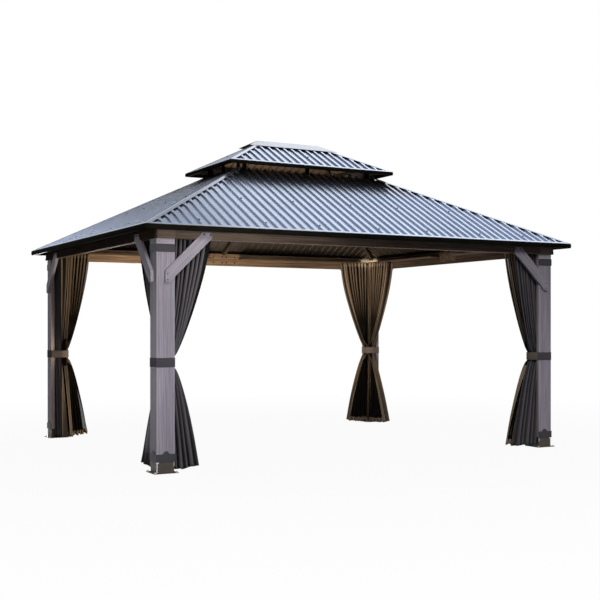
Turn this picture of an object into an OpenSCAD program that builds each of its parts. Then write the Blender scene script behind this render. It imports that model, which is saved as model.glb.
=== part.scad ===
// Hardtop gazebo: two hipped roof tiers of ribbed sheet on four angle posts,
// with knee braces, a double curtain track and tied-back curtains and nets.
// Millimetres. The origin is the centre of the plan on the ground, +Z is up,
// +X runs along the long side and -Y is the front.

/* [Plan] */
// Outside length of the post frame, along X
frame_length = 3994; // [3000:1:5200]
// Outside width of the post frame, along Y
frame_width = 3382; // [2600:1:3900]
// Reach of the lower eave past the posts
eave_overhang = 138; // [120:1:220]

/* [Heights] */
// Height of the beams' underside
beam_bottom = 1860; // [1750:1:2300]
// Height of the beams
beam_height = 134; // [125:1:137]
// Height of the posts' tops above the beams' underside
post_rise = 138; // [134:1:140]
// Height of the lower sheets' underside at the eave, above the beams' underside
eave_rise = 83; // [76:1:100]

/* [Roof] */
// Pitch of both tiers, in degrees
roof_pitch = 26.9; // [25.5:0.1:30]
// Width of the vent opening between the lower sheets, along Y
vent_width = 838; // [700:1:1200]
// Level distance that the upper eave reaches back over the lower roof
vent_overlap = 162; // [100:1:300]
// Height of the upper sheets' plane over the lower sheets' plane
tier_gap = 124; // [100:1:200]
// Distance between ribs
rib_pitch = 84.3; // [60:0.1:120]
// Height of a rib, square to the sheet
rib_height = 15.5; // [12:0.5:22]
// Width of a rib at its foot
rib_foot = 24; // [20:1:40]
// Width of a rib at its crown
rib_crown = 20; // [8:1:22]
// Thickness of the sheets
sheet_t = 1.5; // [1:0.1:2]
// Width of each wing of a hip cap, level and square to the hip
hip_wing = 27; // [20:1:90]
// Level width of each wing of the ridge cap
ridge_wing = 138; // [100:1:200]
// Reach of the ridge cap past the ends of the ridge
ridge_reach = 44; // [20:1:70]
// Thickness of the caps and drip strips
cap_t = 2; // [1:0.1:3]
// Level width of the lower roof's drip strips
lower_strip = 24; // [16:1:80]
// Level width of the upper roof's drip strips
upper_strip = 24; // [16:1:70]
// Height of the lower fascia
lower_fascia = 41; // [32:1:50]
// Height of the upper fascia
upper_fascia = 30; // [24:1:45]
// Depth of the fascia channels
fascia_depth = 28; // [20:1:40]
// Wall of the fascia channels
fascia_t = 2.5; // [1.5:0.5:4]

/* [Roof frame] */
// Width of the hip and middle rafters
rafter_w = 40; // [30:1:50]
// Depth of the rafters
rafter_h = 50; // [40:1:60]
// Width of the vent curb's members
curb_w = 60; // [50:1:70]
// Height of the vent curb's members
curb_h = 50; // [40:1:70]
// Width of a vent post along the side
vent_post_w = 36; // [24:1:50]
// Depth of a vent post and of the upper ring
vent_post_d = 18; // [14:1:20]
// Height of the upper ring's members
upper_ring_h = 32; // [24:1:40]
// Width of the upper rafters and the ridge beam
upper_rafter_w = 24; // [20:1:30]
// Depth of the upper rafters
upper_rafter_h = 30; // [24:1:36]

/* [Posts] */
// Width of each leg of the angle posts
post_leg = 150; // [130:1:180]
// Thickness of each leg
post_t = 34; // [28:1:40]
// Depth of the groove along each outer face
post_groove = 1.5; // [1:0.5:3]
// Height of the foot under the post
foot_h = 95; // [85:1:120]
// Thickness of the base plate
plate_t = 5; // [4:1:10]
// Reach of the base plate past the post
plate_margin = 26; // [22:1:40]
// Diameter of the anchor holes
anchor_d = 11; // [8:1:13]
// Distance of the anchor holes from the plate's edges
anchor_edge = 12; // [11:1:14]
// Thickness of the bands
band_t = 5; // [3:1:8]
// Height of the top band
top_band_h = 62; // [40:1:80]
// Space between the top band and the beam
top_band_gap = 44; // [20:1:80]
// Height of the skirt bands, without their crests
skirt_h = 62; // [50:1:80]
// Rise of the skirt bands' crests
crest_h = 25; // [10:1:40]
// Width of the skirt bands' crests
crest_w = 74; // [50:1:90]

/* [Beams and braces] */
// Reach of the beams' outer faces past the posts' faces
beam_proud = 18; // [12:1:24]
// Height of the two flutes along the outer face
flute_h = 34; // [20:1:40]
// Depth of the flutes
flute_d = 3; // [1:0.5:5]
// Space between the two lengths of each beam
beam_joint = 2; // [1:0.5:4]
// Length of the splice plates
splice_l = 320; // [240:1:400]
// Height of the splice plates
splice_h = 90; // [60:1:100]
// Thickness of the splice plates
splice_t = 3; // [2:0.5:5]
// Width of the knee braces
brace_w = 87; // [60:1:100]
// Level reach of the knee braces
brace_reach = 394; // [300:1:420]
// Distance of the knee braces from the posts' outer edges
brace_inset = 64; // [40:1:80]
// Thickness of the knee braces, from the posts' faces
brace_t = 28; // [24:1:45]
// Height of the knee braces' tops above the beams' underside
brace_top = 58; // [50:1:70]
// Length of the flat foot of a knee brace
brace_toe = 34; // [16:1:60]
// Radius of a knee brace's corners
brace_round = 10; // [2:1:10]

/* [Curtains] */
// Depth of the double curtain track
track_depth = 116; // [100:1:130]
// Height of the track
track_h = 12; // [8:1:16]
// Height of the track's underside above the beams' underside
track_rise = 76; // [70:1:90]
// Distance of the track's ends from the middle of each side
track_stop = 180; // [165:1:260]
// Spread of a head along a long beam, from the post's outer face
head_spread = 480; // [400:1:600]
// Spread of a hem on a long side
hem_spread = 430; // [300:1:480]
// Spread of a head along a short beam
side_head_spread = 560; // [400:1:600]
// Spread of a hem on a short side
side_hem_spread = 510; // [300:1:560]
// Swell of the cloth past a straight line from its head or hem to the tie
swell = 45; // [0:1:60]
// Height of the hems above the ground
hem_height = 30; // [20:1:60]
// Depth of a gathered curtain
curtain_depth = 88; // [70:1:90]
// Depth of a gathered net
net_depth = 34; // [24:1:36]
// Distance of a net's free edge from the curtain's
net_step = 12; // [6:1:30]
// Radius of the bunch inside the tie
bunch_r = 76; // [68:1:80]
// Height of the ties' lower edge
tie_height = 841; // [700:1:1100]
// Width of the tie straps
tie_w = 73; // [50:1:90]
// Thickness of the tie straps
tie_t = 3; // [2:0.5:4]

/* [Clearances] */
// Space between a piece and its seat
seat = 0.3; // [0.2:0.1:0.5]
// Space between the sheets of two slopes at a hip, on each side
hip_gap = 6; // [3:1:12]
// Space between the mitred ends of fascias and curbs, on each side
mitre_gap = 0.3; // [0.2:0.1:0.6]
// Space between soft pieces
soft_gap = 0.6; // [0.4:0.1:0.9]

/* [Hidden] */
slope = tan(roof_pitch);
roof_length = frame_length + 2 * eave_overhang;
roof_width = frame_width + 2 * eave_overhang;
post_top = beam_bottom + post_rise;
beam_top = beam_bottom + beam_height;
eave_z = beam_bottom + eave_rise;
ridge_inset = roof_width / 2;
vent_inset = ridge_inset - vent_width / 2;
upper_inset = vent_inset - vent_overlap;
ridge_length = roof_length - roof_width;
post_in = eave_overhang + post_t;
beam_out = eave_overhang - beam_proud;
curb_out = vent_inset - curb_w * 2 / 3;
curb_in = curb_out + curb_w;
ring_out = curb_in - vent_post_d;
curb_top = roof_z(curb_out) - seat;
ring_top = upper_z(ring_out) - seat;
bulge = 4;
strip_gap = 0.5;
hip_lap = 0.5;
beyond = 2 * roof_length;
track_z = beam_bottom + track_rise;
plate_size = post_leg + 2 * plate_margin;
arc_fn = 48;

CORNERS = [0, 1, 2, 3];
SIDES = [0, 1, 2, 3];

// Colours
WOOD = [0.50, 0.47, 0.50];
BEAM = [0.38, 0.32, 0.29];
BAND = [0.22, 0.21, 0.24];
STEEL = [0.25, 0.22, 0.19];
ROOF = [0.52, 0.56, 0.65];
DARK = [0.13, 0.12, 0.12];
CLOTH = [0.20, 0.20, 0.22];
NET = [0.08, 0.08, 0.08];

// Sides run 0 front, 1 right, 2 back, 3 left. On a side, x runs along the eave,
// y runs level from the eave edge inwards, and z is the true height.
function side_length(k) = k % 2 == 0 ? roof_length : roof_width;
function side_reach(k) = (k % 2 == 0 ? roof_width : roof_length) / 2;
function post_span(k) = k % 2 == 0 ? frame_length : frame_width;
function roof_z(r) = eave_z + slope * r;
function upper_z(r) = roof_z(r) + tier_gap;
function other_side(k) = (k + 3) % 4;

module on_side(k) {
    rotate([0, 0, 90 * k]) translate([0, -side_reach(k), 0]) children();
}

// Corners run 0 front left, 1 front right, 2 back right, 3 back left. At a corner,
// x and y both run inwards from the post's outer edge, and swap between neighbours.
module at_corner(k) {
    sx = k == 0 || k == 3 ? -1 : 1;
    sy = k < 2 ? -1 : 1;
    translate([sx * frame_length / 2, sy * frame_width / 2, 0])
        mirror([sx > 0 ? 1 : 0, 0, 0])
            mirror([0, sy > 0 ? 1 : 0, 0])
                children();
}

// Extrudes a profile drawn as level distance and height along a side
module along_side(length) {
    translate([-length / 2, 0, 0]) rotate([90, 0, 90]) linear_extrude(length) children();
}

// Keeps what lies between the two hips of a side, from one level inset to another
module between_hips(k, from, to, gap) {
    l = side_length(k) / 2 - gap;
    intersection() {
        children();
        linear_extrude(beyond)
            polygon([[-l + from, from], [l - from, from], [l - to, to], [-l + to, to]]);
    }
}

// ---------------------------------------------------------------- posts and feet

module post() {
    color(WOOD) difference() {
        translate([0, 0, foot_h]) linear_extrude(post_top - foot_h) angle_section(post_leg, post_t);
        for (flip = [0, 1]) mirror([flip, -flip, 0]) post_face_groove();
    }
}

module angle_section(leg, thick) {
    polygon([[0, 0], [leg, 0], [leg, thick], [thick, thick], [thick, leg], [0, leg]]);
}

// The extrusion's face is drawn in a little, between a bead at each edge
module post_face_groove() {
    bead = post_leg / 12;
    translate([bead, -1, foot_h - 1])
        cube([post_leg - 2 * bead, post_groove + 1, beam_bottom - foot_h]);
}

module foot() {
    inset = 3;
    centre = post_leg / 2;
    hole = plate_size / 2 - anchor_edge;
    color(STEEL) difference() {
        union() {
            translate([-plate_margin, -plate_margin, 0]) cube([plate_size, plate_size, plate_t]);
            translate([inset, inset, 0])
                linear_extrude(foot_h) angle_section(post_leg - 2 * inset, post_t - 2 * inset);
        }
        for (sx = [-1, 1], sy = [-1, 1])
            translate([centre + sx * hole, centre + sy * hole, -1])
                cylinder(h = plate_t + 2, d = anchor_d, $fn = arc_fn);
    }
}

module band_section() {
    difference() {
        translate([-band_t, -band_t]) angle_section(post_leg + band_t, post_t + band_t);
        angle_section(post_leg + 1, post_t + 1);
    }
}

module top_bands() {
    color(BAND) for (k = CORNERS) at_corner(k)
        translate([0, 0, beam_bottom - top_band_gap - top_band_h])
            linear_extrude(top_band_h) band_section();
}

// One face of a skirt band: a straight foot and a single rounded crest on its top edge
module skirt_face() {
    steps = 18;
    middle = post_leg / 2 + band_t;
    crest = [for (i = [0:steps])
        let (a = i / steps * 2 - 1)
        [middle + a * crest_w / 2, skirt_h + crest_h / 2 * (1 + cos(180 * a))]];
    polygon(concat([[-band_t, 0], [-band_t, skirt_h]], crest, [[post_leg, skirt_h], [post_leg, 0]]));
}

module skirt_bands() {
    color(BAND) for (k = CORNERS) at_corner(k) translate([0, 0, foot_h - band_t]) union() {
        rotate([90, 0, 0]) linear_extrude(band_t) skirt_face();
        mirror([1, -1, 0]) rotate([90, 0, 0]) linear_extrude(band_t) skirt_face();
    }
}

// ---------------------------------------------------------------- beams and braces

// The beams' section: two flutes outside, a plain face inside
module beam_section() {
    rail = (beam_height - 2 * flute_h) / 3;
    difference() {
        translate([beam_out, beam_bottom]) square([post_in - beam_out, beam_height]);
        for (i = [0, 1])
            translate([beam_out - 1, beam_bottom + rail + i * (flute_h + rail)])
                square([flute_d + 1, flute_h]);
    }
}

// The long beams stop at the posts' outer faces and the short ones cover their ends
module beam(k) {
    reach = post_span(k) + (k % 2 == 1 ? 2 * beam_proud : 0);
    color(BEAM) difference() {
        on_side(k) difference() {
            along_side(reach) beam_section();
            translate([-beam_joint / 2, 0, 0]) cube([beam_joint, post_in + 1, beyond]);
        }
        for (c = CORNERS) at_corner(c) {
            post_pocket();
            if (k % 2 == 1) long_beam_end();
        }
    }
}

module post_pocket() {
    linear_extrude(post_top) angle_section(post_leg + seat, post_t + seat);
}

// Where a long beam's outer face runs out to the corner, clear of the short beam
module long_beam_end() {
    translate([-seat, -beam_proud - 1, 0]) cube([post_leg, beam_proud + 1 + seat, beyond]);
}

module beam_splices() {
    color(BEAM) for (k = SIDES) on_side(k)
        translate([-splice_l / 2, post_in, beam_bottom + (beam_height - splice_h) / 2])
            cube([splice_l, splice_t, splice_h]);
}

function unit(v) = v / norm(v);

// The points of an outline with an arc of radius r at each corner
function rounded(outline, r, steps) =
    let (n = len(outline))
    [for (i = [0 : n - 1])
        let (corner = outline[i],
             back = unit(outline[(i + n - 1) % n] - corner),
             on = unit(outline[(i + 1) % n] - corner),
             half = acos(back * on) / 2,
             centre = corner + unit(back + on) * r / sin(half),
             first = corner + back * r / tan(half) - centre,
             last = corner + on * r / tan(half) - centre)
        for (j = [0 : steps]) centre + r * unit(first + (last - first) * j / steps)];

// A knee brace in the plane of a side, drawn from the post's outer edge inwards
module brace_outline() {
    rise = brace_w * sqrt(2);
    top = beam_bottom + brace_top;
    bottom = top - (brace_reach - brace_toe) - (rise - brace_toe) / 2;
    tip = brace_inset + brace_reach;
    side = rise - brace_toe;
    polygon(rounded([
        [brace_inset, bottom],
        [brace_inset + brace_toe, bottom],
        [tip, bottom + brace_reach - brace_toe],
        [tip, top],
        [brace_inset + top - bottom - side, top],
        [brace_inset, bottom + side]
    ], brace_round, 4));
}

module knee_braces() {
    color(WOOD) for (k = SIDES, flip = [0, 1]) on_side(k) difference() {
        mirror([flip, 0, 0])
            translate([-post_span(k) / 2, eave_overhang, 0])
                rotate([90, 0, 0]) linear_extrude(brace_t) brace_outline();
        translate([-roof_length / 2, beam_out - seat, beam_bottom - seat])
            cube([roof_length, post_in, beam_height]);
    }
}

// ---------------------------------------------------------------- curtain tracks

module track_section() {
    slot = 10;
    lip = 3;
    difference() {
        translate([post_in, track_z]) square([track_depth, track_h]);
        for (y = [curtain_depth / 2, curtain_depth + net_depth / 2 - slot])
            translate([post_in + y, track_z]) {
                translate([-slot / 2, lip]) square([slot, track_h - 2 * lip]);
                translate([-slot / 4, -1]) square([slot / 2, lip + 2]);
            }
    }
}

module curtain_tracks() {
    color(BEAM) for (k = SIDES, flip = [0, 1]) on_side(k) mirror([flip, 0, 0]) difference() {
        translate([track_stop, 0, 0]) rotate([90, 0, 90])
            linear_extrude(post_span(k) / 2 - track_stop) track_section();
        corner_cut(post_span(k) / 2);
    }
}

// Cuts what lies past the diagonal of a corner, so that the tracks of two sides mitre
module corner_cut(half) {
    linear_extrude(beyond) polygon([
        [half - mitre_gap, eave_overhang],
        [half + beyond, eave_overhang],
        [half + beyond, eave_overhang + beyond],
        [half - mitre_gap - beyond, eave_overhang + beyond]
    ]);
}

// ---------------------------------------------------------------- roof frame

// A bar under a hip, from one plan distance to another along the diagonal.
// Its top follows the hip, low enough for its edges to clear both slopes.
module hip_bar(width, depth, from, to, lift) {
    drop = slope * width / 2 / sqrt(2) + seat;
    top = [for (s = [from, to]) roof_z(s / sqrt(2)) + lift - drop];
    translate([-eave_overhang, -eave_overhang, 0]) rotate([0, 0, 45])
        translate([0, width / 2, 0]) rotate([90, 0, 0]) linear_extrude(width)
            polygon([[from, top[0]], [to, top[1]], [to, top[1] - depth], [from, top[0] - depth]]);
}

module hip_rafters() {
    curb_corner = curb_out - eave_overhang - seat;
    color(BEAM) for (k = CORNERS) at_corner(k) difference() {
        hip_bar(rafter_w, rafter_h, post_in * sqrt(2) + rafter_w / 2 + seat,
                curb_out * sqrt(2) + rafter_w / 2, 0);
        translate([curb_corner, curb_corner, 0]) cube(beyond);
    }
}

// A rafter up the middle of a side, notched over the beam
module middle_rafters() {
    toe = 5;
    from = beam_out + toe;
    heel = post_in + seat;
    to = curb_out - seat;
    color(BEAM) for (k = SIDES) on_side(k)
        translate([-rafter_w / 2, 0, 0]) rotate([90, 0, 90]) linear_extrude(rafter_w)
            polygon([
                [from, roof_z(from) - seat], [to, roof_z(to) - seat],
                [to, roof_z(to) - rafter_h], [heel, roof_z(heel) - rafter_h],
                [heel, beam_top + seat], [from, beam_top + seat]
            ]);
}

// A level frame member along a side, mitred into its neighbours
module level_member(k, from, to, top, height) {
    on_side(k) between_hips(k, from, to, mitre_gap)
        translate([-side_length(k) / 2, from, top - height])
            cube([side_length(k), to - from, height]);
}

module vent_curb() {
    color(BEAM) for (k = SIDES) level_member(k, curb_out, curb_in, curb_top, curb_h);
}

module vent_posts() {
    color(DARK) for (k = SIDES, place = [-1, 0, 1]) on_side(k)
        translate([place * (side_length(k) / 2 - curb_in - vent_post_w), 0, 0])
            translate([-vent_post_w / 2, ring_out, curb_top])
                cube([vent_post_w, vent_post_d, ring_top - upper_ring_h - curb_top]);
}

module upper_frame() {
    ridge_end = ridge_inset * sqrt(2);
    ridge_top = upper_z(ridge_inset) - slope * upper_rafter_w / 2 - seat;
    middle = frame_width / 2 - seat;
    color(BEAM) {
        for (k = SIDES) level_member(k, ring_out, curb_in, ring_top, upper_ring_h);
        for (k = CORNERS) at_corner(k) difference() {
            hip_bar(upper_rafter_w, upper_rafter_h, curb_in * sqrt(2) + upper_rafter_w / 2 + seat,
                    ridge_end - upper_rafter_w / 2 / sqrt(2) - seat, tier_gap);
            translate([0, middle, 0]) cube(beyond);
        }
        translate([-ridge_length / 2, -upper_rafter_w / 2, ridge_top - upper_rafter_h])
            cube([ridge_length, upper_rafter_w, upper_rafter_h]);
    }
}

// ---------------------------------------------------------------- roof sheets and trim

// Turns to the plane of a slope: x along the eave, y up the slope, z square to the sheet
module on_slope(k, lift) {
    on_side(k) translate([0, 0, eave_z + lift]) rotate([roof_pitch, 0, 0]) children();
}

// Keeps the plan area given by a polygon on a side
module plan_clip(k, outline) {
    intersection() {
        children();
        on_side(k) linear_extrude(beyond) polygon(outline);
    }
}

// Ribs stand half a pitch each way from the middle, as many as fit
function rib_count(length) = floor((length / 2 - rib_pitch) / rib_pitch + 0.5);

// The section of a sheet: level pans with hollow ribs, all of one thickness
module rib_section(length) {
    n = rib_count(length);
    places = [for (i = [-n : n - 1]) (i + 0.5) * rib_pitch];
    foot = rib_foot / 2;
    crown = rib_crown / 2;
    upper = [for (x = places)
        each [[x - foot, sheet_t], [x - crown, rib_height], [x + crown, rib_height], [x + foot, sheet_t]]];
    lower = [for (i = [len(places) - 1 : -1 : 0]) let (x = places[i])
        each [[x + foot - sheet_t, 0], [x + crown - sheet_t, rib_height - sheet_t],
              [x - crown + sheet_t, rib_height - sheet_t], [x - foot + sheet_t, 0]]];
    polygon(concat([[-length / 2, 0], [-length / 2, sheet_t]], upper,
                   [[length / 2, sheet_t], [length / 2, 0]], lower));
}

// One ribbed sheet, between two level insets from the lower eave
module sheet(k, from, to, lift) {
    l = side_length(k) / 2 - hip_gap;
    tip = min(to, l - 1);
    run = to / cos(roof_pitch) + rib_height;
    color(ROOF) plan_clip(k, [[-l + from, from], [l - from, from], [l - tip, tip], [-l + tip, tip]])
        on_slope(k, lift) translate([0, run, 0]) rotate([90, 0, 0])
            linear_extrude(run) rib_section(side_length(k) - 2 * from);
}

// A flat strip of cap metal over the ribs of a slope, layer 0 resting on the crowns
module cap_sheet(k, lift, layer) {
    run = ridge_inset / cos(roof_pitch) + rib_height;
    on_slope(k, lift)
        translate([-side_length(k) / 2, 0, rib_height + seat + layer * (cap_t + seat)])
            cube([side_length(k), run, cap_t]);
}

// The strip that covers the ribs' lower ends, between the hip caps
module drip_strip(k, from, width, lift) {
    end = side_length(k) / 2 - hip_wing * sqrt(2) - strip_gap;
    to = from + width;
    color(ROOF) plan_clip(k, [[-end + from, from], [end - from, from], [end - to, to], [-end + to, to]])
        cap_sheet(k, lift, 0);
}

module lower_roof(k) {
    sheet(k, fascia_t + bulge + seat, vent_inset, 0);
    drip_strip(k, 0, lower_strip, 0);
}

module upper_roof(k) {
    sheet(k, upper_inset + fascia_t + bulge + seat, ridge_inset - seat, tier_gap);
    drip_strip(k, upper_inset, upper_strip, tier_gap);
}

// One wing of a hip cap on the left (-1) or right (1) end of a side. Where it
// reaches the middle of a short side, the wing from the other end meets it there.
module hip_wing_sheet(k, end, from, to, lift) {
    l = side_length(k) / 2 + hip_lap;
    s = hip_wing * sqrt(2) + hip_lap;
    middle = l - s;
    inner = to < middle ? [[middle - to, to]] : [[0, middle], [0, to]];
    outline = concat([[l - from, from], [middle - from, from]], inner, [[l - to, to]]);
    plan_clip(k, [for (p = outline) [end * p[0], p[1]]]) cap_sheet(k, lift, 0);
}

// A folded cap over each hip, its wings lying on the ribs of both slopes
module hip_caps(from, to, lift) {
    color(ROOF) for (k = SIDES) {
        hip_wing_sheet(k, -1, from, to, lift);
        hip_wing_sheet(other_side(k), 1, from, to, lift);
    }
}

module ridge_cap() {
    half = ridge_length / 2 + ridge_reach;
    low = ridge_inset - ridge_wing;
    top = ridge_inset + hip_lap;
    color(ROOF) for (k = [0, 2])
        plan_clip(k, [[-half - ridge_wing, low], [half + ridge_wing, low], [half, top], [-half, top]])
            cap_sheet(k, tier_gap, 1);
}

// A fascia channel: a rounded face, a level foot and an inner leg up to the sheet
module fascia_section(from, height, lift) {
    steps = 8;
    top = roof_z(from) + lift + rib_height / cos(roof_pitch) - seat;
    bottom = top - height;
    face = [for (i = [0 : steps])
        [from + bulge * (1 - sin(180 * i / steps)), top - height * i / steps]];
    inner = [for (i = [steps - 1 : -1 : 0]) [face[i][0] + fascia_t, face[i][1]]];
    back = from + fascia_depth;
    front = back - fascia_t;
    under = lift - seat;
    polygon(concat(face, [
        [back, bottom], [back, roof_z(back) + under], [front, roof_z(front) + under],
        [front, bottom + fascia_t], [face[steps][0] + fascia_t, bottom + fascia_t]
    ], inner));
}

module fascia_trim(from, height, lift) {
    color(DARK) for (k = SIDES) on_side(k) between_hips(k, from, from + fascia_depth, mitre_gap)
        along_side(side_length(k)) fascia_section(from, height, lift);
}

// ---------------------------------------------------------------- curtains, nets and ties

bunch_centre = post_t + seat + bunch_r;
cloth_out = post_t + soft_gap;
cloth_in = cloth_out + curtain_depth;
net_out = cloth_in + soft_gap;
net_in = net_out + net_depth;
bunch_split = bunch_centre - soft_gap * 5;
cloth_top = track_z - seat;
slice_t = 1;

// A level slice of gathered cloth on the x side of a corner's diagonal
module spread_slice(z, near, far, spread) {
    translate([0, 0, z]) linear_extrude(slice_t) polygon([
        [near + soft_gap, near], [spread, near], [spread, far], [far + soft_gap, far]
    ]);
}

// The share of the tied bunch between two lines parallel to the beam
module bunch_slice(z, near, far, height) {
    side = 3 * bunch_r;
    translate([0, 0, z]) linear_extrude(height) intersection() {
        translate([bunch_centre, bunch_centre]) circle(bunch_r, $fn = arc_fn);
        polygon([[near + soft_gap, near], [near + side, near], [near + side, far], [far + soft_gap, far]]);
    }
}

// Cloth that spreads along a beam at its head and hem and narrows to the tie.
// Half way between them it swells past the straight line.
module gathered(near, far, bunch_near, bunch_far, head, hem, step) {
    tie_top = tie_height + tie_w;
    waist = bunch_centre + bunch_r + 2 * (swell - step);
    half_near = (near + bunch_near) / 2;
    half_far = (far + bunch_far) / 2;
    hull() {
        spread_slice(cloth_top - slice_t, near, far, head - step);
        spread_slice((cloth_top + tie_top) / 2, half_near, half_far, (head + waist) / 2);
        bunch_slice(tie_top, bunch_near, bunch_far, slice_t);
    }
    bunch_slice(tie_height, bunch_near, bunch_far, tie_w);
    hull() {
        bunch_slice(tie_height - slice_t, bunch_near, bunch_far, slice_t);
        spread_slice((hem_height + tie_height) / 2, half_near, half_far, (hem + waist) / 2);
        spread_slice(hem_height, near, far, hem - step);
    }
}

// The cloths of a corner: one along the long side, one along the short side
module both_ways(near, far, bunch_near, bunch_far, step) {
    gathered(near, far, bunch_near, bunch_far, head_spread, hem_spread, step);
    mirror([1, -1, 0])
        gathered(near, far, bunch_near, bunch_far, side_head_spread, side_hem_spread, step);
}

module corner_curtains(k) {
    color(CLOTH) at_corner(k)
        both_ways(cloth_out, cloth_in, bunch_centre - bunch_r, bunch_split, 0);
}

module corner_nets(k) {
    color(NET) at_corner(k)
        both_ways(net_out, net_in, bunch_split + soft_gap, bunch_centre + bunch_r, net_step);
}

module tie_outline() {
    hull() {
        angle_section(post_leg, post_t);
        translate([bunch_centre, bunch_centre]) circle(bunch_r, $fn = arc_fn);
    }
}

module curtain_ties() {
    color(BAND) for (k = CORNERS) at_corner(k) translate([0, 0, tie_height])
        linear_extrude(tie_w) difference() {
            offset(delta = seat + tie_t) tie_outline();
            offset(delta = seat) tie_outline();
        }
}

// ---------------------------------------------------------------- the part

at_corner(0) post();  // front_left_post
at_corner(1) post();  // front_right_post
at_corner(2) post();  // back_right_post
at_corner(3) post();  // back_left_post
at_corner(0) foot();  // front_left_foot
at_corner(1) foot();  // front_right_foot
at_corner(2) foot();  // back_right_foot
at_corner(3) foot();  // back_left_foot
top_bands();
skirt_bands();
beam(0);  // front_beam
beam(1);  // right_beam
beam(2);  // back_beam
beam(3);  // left_beam
beam_splices();
knee_braces();
curtain_tracks();
hip_rafters();
middle_rafters();
vent_curb();
vent_posts();
upper_frame();
lower_roof(0);  // front_lower_roof
lower_roof(1);  // right_lower_roof
lower_roof(2);  // back_lower_roof
lower_roof(3);  // left_lower_roof
upper_roof(0);  // front_upper_roof
upper_roof(1);  // right_upper_roof
upper_roof(2);  // back_upper_roof
upper_roof(3);  // left_upper_roof
fascia_trim(0, lower_fascia, 0);  // lower_fascia_trim
fascia_trim(upper_inset, upper_fascia, tier_gap);  // upper_fascia_trim
hip_caps(0, vent_inset, 0);  // lower_hip_caps
hip_caps(upper_inset, ridge_inset, tier_gap);  // upper_hip_caps
ridge_cap();
corner_curtains(0);  // front_left_curtains
corner_curtains(1);  // front_right_curtains
corner_curtains(2);  // back_right_curtains
corner_curtains(3);  // back_left_curtains
corner_nets(0);  // front_left_nets
corner_nets(1);  // front_right_nets
corner_nets(2);  // back_right_nets
corner_nets(3);  // back_left_nets
curtain_ties();
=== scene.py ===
"""Looks of the hardtop gazebo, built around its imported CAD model.

Row frame in metres: origin at the centre of the plan on the ground, +X along the
long side, -Y to the front, +Z up. Everything rides on the one body, "root".
"""

import math
import random
from types import SimpleNamespace

import bmesh
import bpy
from mathutils import Matrix, Vector, noise


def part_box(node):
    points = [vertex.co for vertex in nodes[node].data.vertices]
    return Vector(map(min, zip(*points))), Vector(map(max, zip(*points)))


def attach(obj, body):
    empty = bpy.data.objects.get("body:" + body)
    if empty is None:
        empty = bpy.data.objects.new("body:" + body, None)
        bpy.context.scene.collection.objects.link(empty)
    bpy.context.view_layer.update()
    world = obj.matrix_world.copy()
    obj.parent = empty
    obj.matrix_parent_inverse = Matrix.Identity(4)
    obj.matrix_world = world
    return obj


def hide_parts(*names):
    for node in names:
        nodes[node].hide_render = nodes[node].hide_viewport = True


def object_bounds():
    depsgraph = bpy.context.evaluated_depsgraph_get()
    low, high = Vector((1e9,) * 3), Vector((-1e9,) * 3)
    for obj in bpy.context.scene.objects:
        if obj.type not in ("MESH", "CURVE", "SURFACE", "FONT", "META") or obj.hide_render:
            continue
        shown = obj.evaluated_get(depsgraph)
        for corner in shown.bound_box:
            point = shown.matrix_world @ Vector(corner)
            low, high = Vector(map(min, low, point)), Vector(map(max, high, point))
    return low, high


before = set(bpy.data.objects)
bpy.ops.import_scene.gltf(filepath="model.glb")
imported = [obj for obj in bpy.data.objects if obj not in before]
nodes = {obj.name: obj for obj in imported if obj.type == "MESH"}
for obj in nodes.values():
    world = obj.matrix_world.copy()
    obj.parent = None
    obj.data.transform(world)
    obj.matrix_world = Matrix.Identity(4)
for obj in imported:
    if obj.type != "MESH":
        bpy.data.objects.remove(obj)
cad_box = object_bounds()
scene = bpy.context.scene

# ---- places from the frame

CORNERS = {
    "front_left": (-1, -1),
    "front_right": (1, -1),
    "back_right": (1, 1),
    "back_left": (-1, 1),
}
SIDES = {"front": (0, -1), "right": (1, 0), "back": (0, 1), "left": (-1, 0)}

post_lo, post_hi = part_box("front_left_post")
curtain_lo, curtain_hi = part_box("front_left_curtains")
tie_lo, tie_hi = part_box("curtain_ties")
beam_lo, beam_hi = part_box("front_beam")
splice_lo, splice_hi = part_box("beam_splices")

POST_X = -post_lo.x
POST_Y = -post_lo.y
POST_LEG = post_hi.x - post_lo.x
FOOT_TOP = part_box("front_left_foot")[1].z
BAND_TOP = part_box("top_bands")[1].z
TRACK_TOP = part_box("curtain_tracks")[1].z
RAFTER_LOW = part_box("hip_rafters")[0].z
BRACE_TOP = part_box("knee_braces")[1].z

# Half sizes in plan of the posts' outer faces and of the eaves
POSTS = (POST_X, POST_Y)
EAVES = cad_box[1][:2]

# Knee brace: its width, how far it stands out past the posts, and its lower edge's place
# square to the brace
BRACE_WIDTH = 0.087
BRACE_OUT = 0.0283
BRACE_EDGE = 1.0009

# Roof: rib pitch and height, slope, height of the sheets at the eave and rise of the upper tier
PITCH = 0.0843
RIB_HEIGHT = 0.0155
SLOPE_ANGLE = math.radians(26.9)
EAVE_Z = 1.943
TIER_GAP = 0.124

# Curtain and net: inset of their space from the post's outer face, and its depth
CLOTH_OUT = curtain_lo.x - post_lo.x
CLOTH_DEPTH = 0.088
CLOTH_TOP = curtain_hi.z
NET_OUT = CLOTH_OUT + CLOTH_DEPTH + 0.0006
NET_DEPTH = 0.034

# The bunch in its tie: inset of its middle from both outer faces, radius, and the tie's height
BUNCH_CENTRE = 0.1103
BUNCH_RADIUS = 0.076
TIE_LOW = tie_lo.z
TIE_TOP = tie_hi.z


def corner_point(corner, u, v, z):
    """A point u and v metres in from a post's outer edge, along X and along Y."""
    sx, sy = CORNERS[corner]
    return Vector((sx * (POST_X - u), sy * (POST_Y - v), z))


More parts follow.
